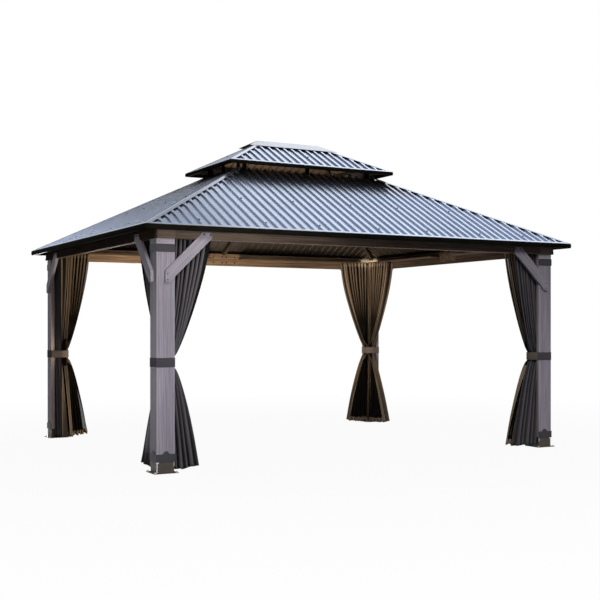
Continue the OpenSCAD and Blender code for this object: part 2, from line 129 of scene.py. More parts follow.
def leg_point(corner, swap, run, inset, z):
    """A point run along a corner's leg and inset from its face. Swap takes the leg along Y."""
    return corner_point(corner, inset, run, z) if swap else corner_point(corner, run, inset, z)


def side_point(side, size, run, inset, z):
    """A point run along a side and inset from a plan outline of half sizes size."""
    sx, sy = SIDES[side]
    if sx == 0:
        return Vector((run, sy * (size[1] - inset), z))
    return Vector((sx * (size[0] - inset), run, z))


def side_half(side, size):
    return size[0] if SIDES[side][0] == 0 else size[1]


def lerp(a, b, t):
    return a + (b - a) * t


# ---- mesh helpers

def mesh_object(name, verts, faces, materials):
    mesh = bpy.data.meshes.new(name)
    mesh.from_pydata([tuple(v) for v in verts], [], faces)
    mesh.update()
    return mesh_in_scene(name, mesh, materials)


def mesh_in_scene(name, mesh, materials):
    obj = bpy.data.objects.new(name, mesh)
    scene.collection.objects.link(obj)
    for material in materials:
        obj.data.materials.append(material)
    return obj


def bake_modifiers(obj):
    """Puts the result of an object's modifiers into its mesh."""
    graph = bpy.context.evaluated_depsgraph_get()
    made = bpy.data.meshes.new_from_object(obj.evaluated_get(graph))
    obj.modifiers.clear()
    obj.data = made


def finish_piece(obj, smooth=True):
    if smooth:
        obj.data.shade_smooth()
    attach(obj, "root")


def flat_piece(bm, name, material):
    """A flat-shaded piece from a bmesh, which is freed."""
    mesh = bpy.data.meshes.new(name)
    bm.to_mesh(mesh)
    bm.free()
    finish_piece(mesh_in_scene(name, mesh, [material]), smooth=False)


# ---- materials

def feed(node, inputs):
    """Feeds a node's inputs, in order or by name. Sockets are linked and None is skipped."""
    for key, value in inputs.items() if isinstance(inputs, dict) else enumerate(inputs):
        if isinstance(value, bpy.types.NodeSocket):
            node.id_data.links.new(value, node.inputs[key])
        elif value is not None:
            node.inputs[key].default_value = value


def empty_tree(owner):
    """The node tree of a material or a world, cleared."""
    owner.use_nodes = True
    owner.node_tree.nodes.clear()
    return owner.node_tree


def add_node(tree, kind, inputs, output=0, operation=None):
    """Adds a shader node, feeds it and returns one of its outputs."""
    node = tree.nodes.new("ShaderNode" + kind)
    if operation:
        node.operation = operation
    feed(node, inputs)
    return node.outputs[output]


class Shade:
    """Makes one node material. Most methods add a node and return its output socket."""

    def __init__(self, name):
        self.material = bpy.data.materials.new(name)
        self.tree = empty_tree(self.material)
        self.surface = self.tree.nodes.new("ShaderNodeBsdfPrincipled")
        feed(self.tree.nodes.new("ShaderNodeOutputMaterial"), [self.surface.outputs[0]])

    def add(self, kind, inputs, output=0, operation=None):
        return add_node(self.tree, kind, inputs, output, operation)

    def set(self, **values):
        """Feeds the surface. An underscore in a name stands for a space."""
        feed(self.surface, {key.replace("_", " "): value for key, value in values.items()})

    def math(self, operation, a, b=None, c=None):
        return self.add("Math", (a, b, c), operation=operation)

    def plus(self, a, b):
        return self.math("ADD", a, b)

    def minus(self, a, b):
        return self.math("SUBTRACT", a, b)

    def times(self, a, b):
        return self.math("MULTIPLY", a, b)

    def place(self):
        return self.add("TexCoord", (), "Object")

    def uv(self):
        return self.add("TexCoord", (), "UV")

    def normal(self):
        return self.split(self.add("NewGeometry", (), "True Normal"))

    def split(self, vector):
        return self.add("SeparateXYZ", [vector]).node.outputs

    def scaled(self, vector, scale):
        return self.add("VectorMath", (vector, scale), operation="MULTIPLY")

    def noise(self, vector, scale, detail=3.0, roughness=0.55, distortion=0.0):
        return self.add("TexNoise", {"Vector": vector, "Scale": scale, "Detail": detail,
                                     "Roughness": roughness, "Distortion": distortion})

    def wave(self, vector, scale, direction):
        bands = self.add("TexWave", {"Vector": vector, "Scale": scale}, "Fac")
        bands.node.bands_direction = direction
        return bands

    def ramp(self, value, stops):
        ramp = self.add("ValToRGB", [value])
        elements = ramp.node.color_ramp.elements
        while len(elements) < len(stops):
            elements.new(0.5)
        for element, (place, colour) in zip(elements, stops):
            element.position = place
            element.color = (*colour, 1.0)
        return ramp

    def range(self, value, from_low, from_high, to_low, to_high):
        return self.add("MapRange", (value, from_low, from_high, to_low, to_high))

    def mix(self, factor, a, b, blend="MIX"):
        node = self.tree.nodes.new("ShaderNodeMix")
        node.data_type = "RGBA"
        node.blend_type = blend
        a, b = [(*item, 1.0) if isinstance(item, tuple) else item for item in (a, b)]
        feed(node, {"Factor": factor, 6: a, 7: b})
        return node.outputs[2]

    def fade(self, value, low, high, a, b, share=1.0):
        """Runs from a to a share of b as the value goes from low to high."""
        return self.mix(self.range(value, low, high, 0.0, share), a, b)

    def tinted(self, factor, colour, tint):
        """The colour, multiplied by a tint where the factor is 1."""
        return self.mix(factor, colour, self.mix(1.0, colour, tint, "MULTIPLY"))

    def bump(self, height, distance, strength):
        self.set(Normal=self.add("Bump", {"Height": height, "Distance": distance, "Strength": strength}))

    def crown(self, inside):
        """How near a fold's crown this is, seen from outside or from inside: 0 in a valley."""
        wave = self.add("Attribute", (), "Fac")
        wave.node.attribute_name = "crown"
        low, high = (0.32, 0.05) if inside else (0.44, 0.88)
        return self.range(wave, low, high, 0.0, 1.0)


GRAIN_SQUEEZE = 0.016
DIAGONAL = math.sqrt(0.5)


def grain_field(shade, along):
    """Place, squeezed along the grain: along is an axis name, or "brace" for the knee braces."""
    if along != "brace":
        return shade.scaled(shade.place(), [GRAIN_SQUEEZE if axis == along else 1.0 for axis in "XYZ"])
    x, y, z = shade.split(shade.place())
    far_x = shade.math("ABSOLUTE", x)
    far_y = shade.math("ABSOLUTE", y)
    on_long_side = shade.math("GREATER_THAN", far_y, POST_Y - 0.05)
    reach = shade.range(on_long_side, 0.0, 1.0, far_y, far_x)
    depth = shade.range(on_long_side, 0.0, 1.0, far_x, far_y)
    run = shade.times(shade.minus(z, reach), DIAGONAL * GRAIN_SQUEEZE)
    return shade.add("CombineXYZ", (run, shade.times(shade.plus(z, reach), DIAGONAL), depth))


def insets(shade):
    """How far in from the posts' outer faces a place is, along X and along Y, and its height."""
    x, y, z = shade.split(shade.place())
    u = shade.minus(POST_X, shade.math("ABSOLUTE", x))
    return u, shade.minus(POST_Y, shade.math("ABSOLUTE", y)), z


def side_reach(shade):
    """How far in along its own side a face's place is, and its height."""
    u, v, z = insets(shade)
    on_long_side = shade.math("GREATER_THAN", shade.math("ABSOLUTE", shade.normal()[1]), 0.5)
    return shade.range(on_long_side, 0.0, 1.0, v, u), z


def post_painted_edge(shade):
    """Place across a post's face, the face's width and the width of its painted edge highlight."""
    return side_reach(shade)[0], POST_LEG, POST_LEG / 15


def brace_painted_edge(shade):
    """Place across a brace, the brace's width and the width of its painted edge highlight."""
    reach, z = side_reach(shade)
    across = shade.times(shade.minus(z, reach), DIAGONAL)
    return shade.minus(across, BRACE_EDGE), BRACE_WIDTH, 0.006


def inward(shade):
    """1 on faces that look towards the middle of the plan, 0 on the rest."""
    nx, ny, _ = shade.normal()
    x, y, _ = shade.split(shade.place())
    outward = shade.plus(shade.times(nx, shade.math("SIGN", x)), shade.times(ny, shade.math("SIGN", y)))
    return shade.range(outward, -0.2, 0.2, 1.0, 0.0)


def towards_room(shade):
    """1 on the room side of a post's corner, 0 over the post itself."""
    u, v, _ = insets(shade)
    return shade.times(inward(shade), shade.range(shade.plus(u, v), POST_LEG, POST_LEG + 0.02, 0.0, 1.0))


def wood_grain(name, along, tones, specular, inside=None, edge=None):
    """A satin printed wood-grain coating: soft cathedral bands, fine streaks and short pores.

    Tones are dark, middle and light. Inside is a tint for the faces towards the room: painted
    warm light, weaker to the right as painted falloff. Where edge is given, both edges carry
    a pale band of painted highlight and a dark line of painted groove shade.
    """
    shade = Shade(name)
    dark, _, light = tones
    field = grain_field(shade, along)
    broad = shade.noise(field, 26.0, 3.0, 0.6, 0.6)
    streak = shade.noise(field, 170.0, 4.0, 0.65)
    pore = shade.noise(field, 420.0, 2.0, 0.5)
    blend = shade.plus(shade.times(broad, 0.3), shade.times(streak, 0.7))
    colour = shade.ramp(blend, list(zip((0.36, 0.5, 0.63), tones)))
    colour = shade.fade(pore, 0.6, 0.72, colour, dark, 0.45)
    # Painted warm light: faces towards the room are tinted lighter and warmer, less so to the right
    if inside:
        near = shade.range(shade.split(shade.place())[0], 0.6, 1.8, 1.0, 0.3)
        colour = shade.tinted(shade.times(inward(shade), near), colour, inside)
    colour = shade.fade(shade.noise(shade.place(), 1.7, 2.0), 0.35, 0.7, colour, light, 0.16)
    # Painted highlight in a pale band along both edges, and painted shade in a dark groove line just inside
    # it
    if edge:
        across, width, highlight_width = edge(shade)
        rim = shade.math("MINIMUM", across, shade.minus(width, across))
        line = shade.math("COMPARE", rim, highlight_width + 0.003, 0.0018)
        colour = shade.mix(shade.range(rim, highlight_width, highlight_width + 0.001, 0.55, 0.0), colour, light)
        colour = shade.mix(shade.times(line, 0.6), colour, dark)
    shade.set(Base_Color=colour, Roughness=shade.range(streak, 0.3, 0.7, 0.46, 0.6),
              Specular_IOR_Level=specular)
    shade.bump(shade.plus(streak, shade.times(pore, 0.5)), 0.0006, 0.5)
    return shade.material


# Heights over which the lower roof passes into the shadow of the upper eave, and its colour there
SHELTERED = (2.42, 2.63)
SHELTERED_TONE = (0.03, 0.022, 0.015)
DUST = (0.36, 0.39, 0.44)
# Painted shade on the ribs' steep sides: how far they go dark, and to what colour
PAINTED_WALL_SHADE = (0.15, (0.02, 0.02, 0.03))
UNDER = ((0.02, 0.015, 0.011), (0.03, 0.022, 0.016))
UNDER_EDGE = (0.17, 0.123, 0.08)


def roof_metal(name, dark, light, painted_wall=PAINTED_WALL_SHADE, under=UNDER, sheltered=False):
    """Glossy metallic coating above, dusty in places, and dull brown beneath.

    The wall argument gives how far the ribs' steep sides go to another colour, and that colour: painted
    shade where dark, painted highlight where light. Under is the dark and the light tone beneath.
    """
    shade = Shade(name)
    place = shade.place()
    nz = shade.normal()[2]
    cloud = shade.noise(place, 2.3, 4.0, 0.6)
    fine = shade.noise(place, 60.0, 3.0, 0.6)
    dust = shade.noise(shade.scaled(place, (6.0, 6.0, 1.5)), 3.0, 5.0, 0.7)
    above = shade.math("GREATER_THAN", nz, 0.0)
    coat = shade.fade(cloud, 0.3, 0.7, dark, light)
    coat = shade.fade(dust, 0.55, 0.8, coat, DUST, 0.25)
    # Painted light on the ribs' steep sides: painted shade with a dark colour, painted highlight with a
    # light one
    coat = shade.mix(shade.range(nz, 0.45, 0.8, painted_wall[0], 0.0), coat, painted_wall[1])
    if sheltered:
        coat = shade.fade(shade.split(place)[2], *SHELTERED, coat, SHELTERED_TONE, 0.9)
    below = shade.fade(fine, 0.3, 0.7, *under)
    below = shade.fade(nz, -0.75, -0.55, below, UNDER_EDGE)
    rough = shade.plus(shade.range(fine, 0.3, 0.7, 0.21, 0.27), shade.range(dust, 0.55, 0.8, 0.0, 0.08))
    shade.set(Base_Color=shade.mix(above, below, coat), Metallic=shade.times(above, 0.95),
              Roughness=shade.plus(rough, shade.range(above, 0.0, 1.0, 0.3, 0.0)))
    shade.bump(shade.noise(place, 9.0, 2.0), 0.004, 0.1)
    return shade.material


def satin_metal(name, dark, light, roughness, specular=0.5, scratch=None):
    """Coated metal with cloudy tone, fine orange-peel and, where asked for, level scratches."""
    shade = Shade(name)
    place = shade.place()
    cloud = shade.noise(place, 6.0, 4.0, 0.6)
    fine = shade.noise(place, 40.0, 4.0, 0.65)
    colour = shade.fade(cloud, 0.3, 0.7, dark, light)
    if scratch:
        lines = shade.noise(shade.scaled(place, (9.0, 9.0, 130.0)), 3.0, 5.0, 0.7)
        colour = shade.fade(lines, 0.62, 0.72, colour, scratch, 0.6)
    shade.set(Base_Color=colour, Specular_IOR_Level=specular,
              Roughness=shade.range(fine, 0.3, 0.7, roughness - 0.06, roughness + 0.06))
    shade.bump(shade.noise(place, 700.0, 1.0), 0.0002, 0.35)
    return shade.material


def bright_steel(name, colour, roughness):
    """Galvanised steel with a spangle."""
    shade = Shade(name)
    spangle = shade.noise(shade.place(), 180.0, 2.0, 0.4, 1.5)
    dark = tuple(c * 0.78 for c in colour)
    shade.set(Base_Color=shade.fade(spangle, 0.4, 0.6, dark, colour), Metallic=0.85,
              Roughness=shade.range(spangle, 0.3, 0.7, roughness, roughness + 0.15))
    return shade.material


def woven(name, dark, light, valley=None, inside=False, painted_room_light=None):
    """Plain-weave polyester: crossed threads, slubs and soft creases. UVs are metres of cloth.

    Where valley is given, the colour fades to it in the folds' valleys as painted shade, less so
    near the hem. The inside goes to it towards the tie as well, as painted shade of the bunch.
    """
    shade = Shade(name)
    uv = shade.uv()
    weave = shade.times(shade.wave(uv, 420.0, "X"), shade.wave(uv, 420.0, "Y"))
    slub = shade.noise(shade.scaled(uv, (160.0, 9.0, 1.0)), 1.0, 3.0, 0.6)
    crease = shade.noise(shade.scaled(uv, (9.0, 2.5, 1.0)), 1.0, 4.0, 0.6, 0.4)
    tone = shade.plus(shade.times(slub, 0.6), shade.times(weave, 0.4))
    colour = shade.fade(tone, 0.25, 0.75, dark, light)
    colour = shade.fade(crease, 0.35, 0.7, colour, light, 0.35)
    drop = shade.split(uv)[1]
    # Painted shade in the folds' valleys, less near the hem
    if valley:
        deep = shade.minus(1.0, shade.crown(inside))
        colour = shade.mix(shade.times(deep, shade.range(drop, 0.88, 1.15, 1.0, 0.4)), colour, valley)
    # Painted shade on the inside, growing towards the tie
    if inside:
        above_tie = shade.range(drop, 0.15, 0.8, 0.0, 0.65)
        colour = shade.mix(shade.times(above_tie, shade.range(drop, 0.88, 1.25, 1.0, 0.0)), colour, valley)
    # Painted warm light on the faces towards the room
    if painted_room_light:
        colour = shade.tinted(towards_room(shade), colour, painted_room_light)
    shade.set(Base_Color=colour, Roughness=0.9, Sheen_Weight=0.06, Sheen_Roughness=0.5,
              Specular_IOR_Level=0.05)
    shade.bump(shade.plus(shade.times(weave, 0.15), crease), 0.0025, 0.5)
    return shade.material


def netting(name, painted_head_light, plain, dark):
    """Netting: painted warm light on crowns near its head, painted shade in valleys, black when gathered.
    """
    shade = Shade(name)
    uv = shade.uv()
    threads = shade.math("MAXIMUM", shade.wave(uv, 260.0, "X"), shade.wave(uv, 260.0, "Y"))
    cloud = shade.noise(shade.scaled(uv, (30.0, 4.0, 1.0)), 1.0, 3.0)
    # Painted warm light near the head, running to the plain near-black tone lower down
    painted_light_to_plain = shade.fade(shade.split(uv)[1], 0.05, 0.68, painted_head_light, plain)
    painted_light_to_plain = shade.fade(cloud, 0.3, 0.7, painted_light_to_plain, dark, 0.25)
    # Valleys take the dark tone: painted shade
    shade.set(Base_Color=shade.mix(shade.crown(True), dark, painted_light_to_plain), Roughness=0.8, Specular_IOR_Level=0.05,
              Alpha=shade.range(threads, 0.25, 0.95, 0.72, 0.96))
    return shade.material


# Dark, middle and light tone of each wood grain, and tints of painted warm light for the faces towards the
# room
POST_TONES = ((0.15, 0.135, 0.165), (0.235, 0.215, 0.258), (0.335, 0.31, 0.36))
COLLAR_TONES = (*POST_TONES[1:], (0.44, 0.4, 0.45))
BEAM_TONES = ((0.048, 0.034, 0.027), (0.096, 0.071, 0.058), (0.175, 0.134, 0.11))
# The left beam's tones are darker than the other beams': painted shade on the side away from the light
LEFT_BEAM_PAINTED_SHADE_TONES = ((0.026, 0.019, 0.015), (0.05, 0.037, 0.03), (0.082, 0.062, 0.051))
COVER_TONES = (*BEAM_TONES[1:], (0.2, 0.155, 0.13))
POST_PAINTED_LIGHT = (1.9, 1.5, 1.05)
LONG_BEAM_PAINTED_LIGHT = (3.6, 3.25, 2.5)
LEFT_BEAM_PAINTED_LIGHT = (4.3, 3.9, 3.0)
RIGHT_BEAM_PAINTED_LIGHT = (1.2, 1.05, 0.8)

post_coat = wood_grain("post wood-grain coating", "Z", POST_TONES, 0.13, POST_PAINTED_LIGHT, post_painted_edge)
brace_coat = wood_grain("brace wood-grain coating", "brace", POST_TONES, 0.13, None, brace_painted_edge)
long_beam_coat = wood_grain("long beam wood-grain coating", "X", BEAM_TONES, 0.02, LONG_BEAM_PAINTED_LIGHT)
# Left beam: painted shade in its darker tones, painted warm light on its room side
left_beam_painted_shade_coat = wood_grain("left beam wood-grain coating", "Y", LEFT_BEAM_PAINTED_SHADE_TONES, 0.0005, LEFT_BEAM_PAINTED_LIGHT)
right_beam_coat = wood_grain("right beam wood-grain coating", "Y", BEAM_TONES, 0.0005, RIGHT_BEAM_PAINTED_LIGHT)
cover_coat = wood_grain("beam cover coating", "X", COVER_TONES, 0.02)
collar_coat = wood_grain("post collar coating", "X", COLLAR_TONES, 0.13)
rafter_coat = satin_metal("rafter coating", (0.045, 0.033, 0.025), (0.07, 0.053, 0.04), 0.5, 0.05)
track_coat = satin_metal("track coating", (0.1, 0.072, 0.045), (0.14, 0.1, 0.065), 0.5, 0.15)
# Light rib sides on these sheets: painted highlight
roof_coat = roof_metal("roof sheet coating", (0.13, 0.166, 0.246), (0.167, 0.208, 0.296),
                       painted_wall=(0.9, (0.38, 0.44, 0.55)), sheltered=True)
# Darker tones and darker rib sides for the left slope alone: painted shade
left_roof_painted_shade_coat = roof_metal("left roof sheet coating", (0.085, 0.11, 0.165), (0.115, 0.145, 0.21),
                            painted_wall=(0.45, PAINTED_WALL_SHADE[1]), sheltered=True)
# Lighter rib sides on the upper sheets: painted highlight
upper_roof_coat = roof_metal("upper roof sheet coating", (0.125, 0.16, 0.24), (0.165, 0.205, 0.295),
                             painted_wall=(0.5, (0.28, 0.33, 0.42)),
                             # The upper sheets' underside is a lighter brown than the lower's: painted
                             # light
                             under=((0.085, 0.052, 0.03), (0.125, 0.08, 0.048)))
cap_coat = roof_metal("roof cap coating", (0.12, 0.15, 0.215), (0.16, 0.195, 0.27))
ridge_coat = roof_metal("ridge cap coating", (0.055, 0.07, 0.105), (0.08, 0.1, 0.145))
black_coat = satin_metal("dark trim coating", (0.004, 0.004, 0.0035), (0.009, 0.009, 0.0075), 0.32, 0.0005)
band_coat = satin_metal("band coating", (0.033, 0.031, 0.036), (0.044, 0.041, 0.049), 0.5, 0.15)
foot_coat = satin_metal("foot coating", (0.05, 0.04, 0.033), (0.085, 0.068, 0.056), 0.45, 0.2,
                        scratch=(0.22, 0.19, 0.16))
bracket_coat = satin_metal("bracket coating", (0.7, 0.56, 0.38), (0.85, 0.69, 0.47), 0.45, 0.2)
bare_steel = bright_steel("galvanised steel", (0.5, 0.5, 0.52), 0.35)
bolt_black = satin_metal("black bolt coating", (0.006, 0.006, 0.007), (0.014, 0.013, 0.014), 0.35)
# The last tone of each cloth here is painted shade in its folds' valleys
curtain_outer = woven("curtain cloth outside", (0.064, 0.059, 0.067), (0.126, 0.118, 0.132),
                      (0.005, 0.005, 0.005))
# The inside is the same cloth as the outside, coloured tan-brown: painted warm light
curtain_inner_painted_light = woven("curtain cloth inside", (0.15, 0.112, 0.08), (0.26, 0.195, 0.14),
                      (0.012, 0.01, 0.008), True)
# Tie webbing: painted warm light on its room side
tie_cloth = woven("tie webbing", (0.044, 0.042, 0.049), (0.084, 0.079, 0.092), painted_room_light=(2.3, 1.95, 1.5))
band_cloth = woven("net binding cloth", (0.28, 0.21, 0.15), (0.4, 0.305, 0.215),
                   (0.085, 0.064, 0.044), True)
# Tan head tone: painted warm light; last tone: painted shade in the valleys
net_cloth = netting("insect netting", (0.3, 0.225, 0.155), (0.016, 0.013, 0.01), (0.003, 0.003, 0.002))


def paint(material, *names):
    for name in names:
        data = nodes[name].data
        data.materials.clear()
        data.materials.append(material)


for corner in CORNERS:
    paint(post_coat, corner + "_post")
    paint(foot_coat, corner + "_foot")
for side in SIDES:
    paint(left_roof_painted_shade_coat if side == "left" else roof_coat, side + "_lower_roof")
    paint(upper_roof_coat, side + "_upper_roof")
paint(long_beam_coat, "front_beam", "back_beam", "beam_splices")
paint(left_beam_painted_shade_coat, "left_beam")
paint(right_beam_coat, "right_beam")
paint(brace_coat, "knee_braces")
paint(track_coat, "curtain_tracks")
paint(rafter_coat, "hip_rafters", "middle_rafters", "vent_curb", "upper_frame")
paint(black_coat, "vent_posts", "lower_fascia_trim", "upper_fascia_trim")
paint(cap_coat, "lower_hip_caps", "upper_hip_caps")
paint(ridge_coat, "ridge_cap")
paint(band_coat, "top_bands", "skirt_bands")


# ---- curtains and nets

# Flat sizes of a curtain sheet and a net sheet, width by height
CLOTH = (1.4, 1.92)
NET_CLOTH = (0.74, 1.91)

# Heights of the doubled bands at the head and the hem
HEADING = 0.045
HEM_BAND = 0.045

# Thickness, thickness at the bands, and side it is put on
CURTAIN_THICK = (0.0009, 0.0022, -1.0)
BINDING_THICK = (0.0014, 0.0014, 0.0)

# Share of a net's width where the binding of its free edge starts
EDGE_START = 0.9575

# How far a fold leans over its neighbour above and below the tie, as a share of its width
UPPER_OVERHANG = 0.15
LOWER_OVERHANG = 0.1

# Widths and outer depths of the curtains' folds above and below the tie, and of the nets' folds
UPPER_FOLDS = ((1.0, 1.15, 0.85, 1.1, 0.95, 1.2, 0.9, 1.05, 1.25, 0.9),
               (0.9, 1.0, 0.8, 1.0, 0.7, 1.0, 0.9, 1.0, 0.85, 1.0))
LOWER_FOLDS = ((0.9, 1.1, 0.8, 1.5, 0.9, 1.6, 1.2), (0.8, 1.0, 0.7, 1.0, 0.8, 1.0, 0.9))
NET_FOLDS = ([1.0 + 0.25 * math.sin(i * 2.4) for i in range(8)], [1.0] * 8)

# What sets each kind of cloth apart. Middle and start are insets from the post's outer faces,
# swing is the folds' half depth, low the hem's height and angles the bunch's, in degrees.
# Further is how far past its corner's spread it ends at head and hem. Side is 1 where the
# folds' outer crowns lie on the bunch's outside, -1 where they lie inside.
CURTAIN = SimpleNamespace(
    flat=CLOTH, upper=UPPER_FOLDS, lower=LOWER_FOLDS, middle=CLOTH_OUT + CLOTH_DEPTH / 2, swing=0.038,
    start=0.107, further=(0.0, 0.0), low=0.018, angles=(-126.0, -6.0), side=1, columns=200, rows=34)
NET = SimpleNamespace(
    flat=NET_CLOTH, upper=NET_FOLDS, lower=NET_FOLDS, middle=NET_OUT + NET_DEPTH / 2, swing=0.0155,
    start=0.162, further=(0.004, 0.022), low=0.022, angles=(0.0, 41.0), side=-1, columns=112, rows=26)

# Where each corner's curtains end at head and hem, in from the post: along X, then along Y
SPREADS = {
    "front_left": ((0.478, 0.375), (0.555, 0.51)),
    "front_right": ((0.42, 0.425), (0.54, 0.48)),
    "back_right": ((0.478, 0.4), (0.552, 0.484)),
    "back_left": ((0.405, 0.368), (0.372, 0.405)),
}

# How fast the cloth opens below the tie: along X, then along Y
FLARES = (0.64, 0.75)

FIRST_SEED = 11
CORNER_SEEDS = 20
NET_SEEDS = 5


class Folds:
    """A row of omega folds of uneven width and depth across a sheet."""

    def __init__(self, widths, depths, draw, overhang):
        total = sum(widths)
        self.widths = [width / total for width in widths]
        self.edges = [sum(self.widths[:i]) for i in range(len(widths) + 1)]
        self.depths = depths
        self.overhang = overhang
        self.drops = [draw.uniform(-0.5, 0.5) for _ in range(len(widths) + 1)]

    def place(self, s):
        """Share s of the sheet on the row of folds: it starts and ends half way through a fold."""
        return lerp(self.widths[0] / 2, 1.0 - self.widths[-1] / 2, s)

    def at(self, s):
        """The wave (1 outside, -1 inside), the shift along the sheet and the droop at share s."""
        s = self.place(s)
        i = 0
        while i < len(self.widths) - 1 and s > self.edges[i + 1]:
            i += 1
        q = (s - self.edges[i]) / self.widths[i]
        wave = -math.cos(math.tau * q)
        if wave > 0:
            wave *= self.depths[i]
        shift = self.overhang * self.widths[i] * math.sin(2 * math.tau * q)
        calm = q * q * (3 - 2 * q)
        return wave, shift, lerp(self.drops[i], self.drops[i + 1], calm)

    def at_free_edge(self, s):
        """Whether share s is on the bound free edge, past the last inner crown."""
        return self.place(s) > self.edges[-2] + 0.34 * self.widths[-1]


class Gather:
    """How one sheet hangs: its kind's folds, where it spreads and where it sits in the bunch."""

    def __init__(self, kind, corner, turned, seed):
        draw = random.Random(seed + turned)
        self.kind = kind
        self.corner = corner
        self.turned = turned
        self.upper = Folds(*kind.upper, draw, UPPER_OVERHANG)
        self.lower = Folds(*kind.lower, draw, LOWER_OVERHANG)
        self.head, self.hem = [end + more for end, more in zip(SPREADS[corner][turned], kind.further)]
        self.offset = draw.uniform(0.0, 20.0)
        self.heading_z = CLOTH_TOP - HEADING
        self.hem_z = kind.low + HEM_BAND

    def levels(self):
        """Row heights from the heading to the hem, with close rows at the bands and the tie."""
        rows = self.kind.rows
        head = [CLOTH_TOP, CLOTH_TOP - HEADING * 0.5, self.heading_z + 0.001, self.heading_z]
        upper = [lerp(self.heading_z, TIE_TOP, (i + 1) / rows) for i in range(rows)]
        tied = [lerp(TIE_TOP, TIE_LOW, (i + 1) / 3) for i in range(3)]
        lower = [lerp(TIE_LOW, self.hem_z, (i + 1) / rows) for i in range(rows)]
        hem = [self.hem_z - 0.001, self.kind.low + HEM_BAND * 0.5, self.kind.low]
        return head + upper + tied + lower + hem

    def fold(self, s, z):
        """The fold's wave, shift and droop. The upper folds run into the lower ones at the tie."""
        change = min(1.0, max(0.0, (TIE_TOP + 0.02 - z) / (TIE_TOP - TIE_LOW + 0.04)))
        return [lerp(a, b, change) for a, b in zip(self.upper.at(s), self.lower.at(s))]

    def crown(self, s, z):
        """How far out the fold is at share s: 1 on an outer crown, 0 on an inner one or the edge."""
        folds = self.upper if z > TIE_TOP else self.lower
        # Past the last inner crown the value is 0, so the outside there takes the valleys' painted shade
        return 0.0 if folds.at_free_edge(s) else 0.5 + 0.5 * self.fold(s, z)[0]

    def point(self, s, z):
        """Place (u, v, z) of the cloth at share s of its width and nominal height z."""
        kind = self.kind
        end = self.head
        fall = 0.0
        pinch = 1.0
        if z > TIE_TOP:
            rise = (z - TIE_TOP) / (CLOTH_TOP - TIE_TOP)
            pinch = 1.0 - 0.25 * math.sqrt(rise) - 0.75 * (1.0 - (1.0 - rise) ** 1.5)
        elif z < TIE_LOW:
            fall = (TIE_LOW - z) / (TIE_LOW - kind.low)
            pinch = 1.0 - fall ** FLARES[self.turned]
            end = self.hem
        wave, shift, droop = self.fold(s, z)
        ripple = noise.noise(Vector((s * 9.0, z * 4.0, self.offset)))
        lean = noise.noise(Vector((s * 3.0, z * 1.6, self.offset + 7.0)))
        heading = max(0.0, 1.0 - (CLOTH_TOP - z) / HEADING)
        depth = kind.swing * (1.0 + 0.1 * ripple - 0.25 * heading)
        u_spread = kind.start + (end - kind.start) * (s + shift) + 0.012 * lean * (1.0 - pinch)
        v_spread = kind.middle - depth * wave
        angle = math.radians(lerp(*kind.angles, s + shift * 0.5))
        rim = BUNCH_RADIUS * (0.59 + 0.36 * wave * kind.side * (0.96 + 0.04 * ripple))
        u = lerp(u_spread, BUNCH_CENTRE + rim * math.cos(angle), pinch)
        v = lerp(v_spread, BUNCH_CENTRE + rim * math.sin(angle), pinch)
        z += (0.01 * droop + 0.007 * wave + 0.014 * s * s - 0.002) * fall * fall
        return u, v, max(z, kind.low * 0.5)


def gathered_sheet(name, gather, materials, thick=None, s_range=(0.0, 1.0), z_range=(0.0, CLOTH_TOP),
                   columns=None):
    """A gathered sheet, or a strip of it, with UVs in metres."""
    levels = [z for z in gather.levels() if z_range[0] - 1e-6 <= z <= z_range[1] + 1e-6]
    columns = columns or gather.kind.columns
    shares = [lerp(*s_range, i / columns) for i in range(columns + 1)]
    corner, turned = gather.corner, gather.turned
    verts = [leg_point(corner, turned, *gather.point(s, z)) for z in levels for s in shares]
    across = len(shares)
    faces = strip_faces(len(levels), across, False, (math.prod(CORNERS[corner]) > 0) == turned)
    obj = mesh_object(name, verts, faces, materials)
    crowns = obj.data.attributes.new("crown", "FLOAT", "POINT")
    for index, item in enumerate(crowns.data):
        row, column = divmod(index, across)
        item.value = gather.crown(shares[column], levels[row])
    layer = obj.data.uv_layers.new(name="cloth")
    for loop in obj.data.loops:
        row, column = divmod(loop.vertex_index, across)
        layer.data[loop.index].uv = (shares[column] * gather.kind.flat[0], CLOTH_TOP - levels[row])
    if thick:
        thicken(obj, levels, across, gather, *thick)
    return obj


def strip_faces(rows, across, closed, reverse):
    """Quads between rows of points. Closed joins the last row to the first."""
    faces = []
    for j in range(rows if closed else rows - 1):
        for i in range(across - 1):
            a = j * across + i
            b = (j + 1) % rows * across + i
            face = (a, b, b + 1, a + 1)
            faces.append(face[::-1] if reverse else face)
    return faces


def thicken(obj, levels, across, gather, plain, doubled, offset):
    """Gives cloth its thickness, doubled at the heading and hem."""
    group = obj.vertex_groups.new(name="doubled")
    for row, z in enumerate(levels):
        band = z >= gather.heading_z + 0.0005 or z <= gather.hem_z - 0.0005
        group.add(list(range(row * across, (row + 1) * across)), 1.0 if band else 0.0, "REPLACE")
    solid = obj.modifiers.new("thickness", "SOLIDIFY")
    solid.thickness = doubled
    solid.offset = offset
    solid.vertex_group = "doubled"
    solid.thickness_vertex_group = plain / doubled
    solid.material_offset = min(1, len(obj.data.materials) - 1)
    solid.material_offset_rim = 0
    bake_modifiers(obj)


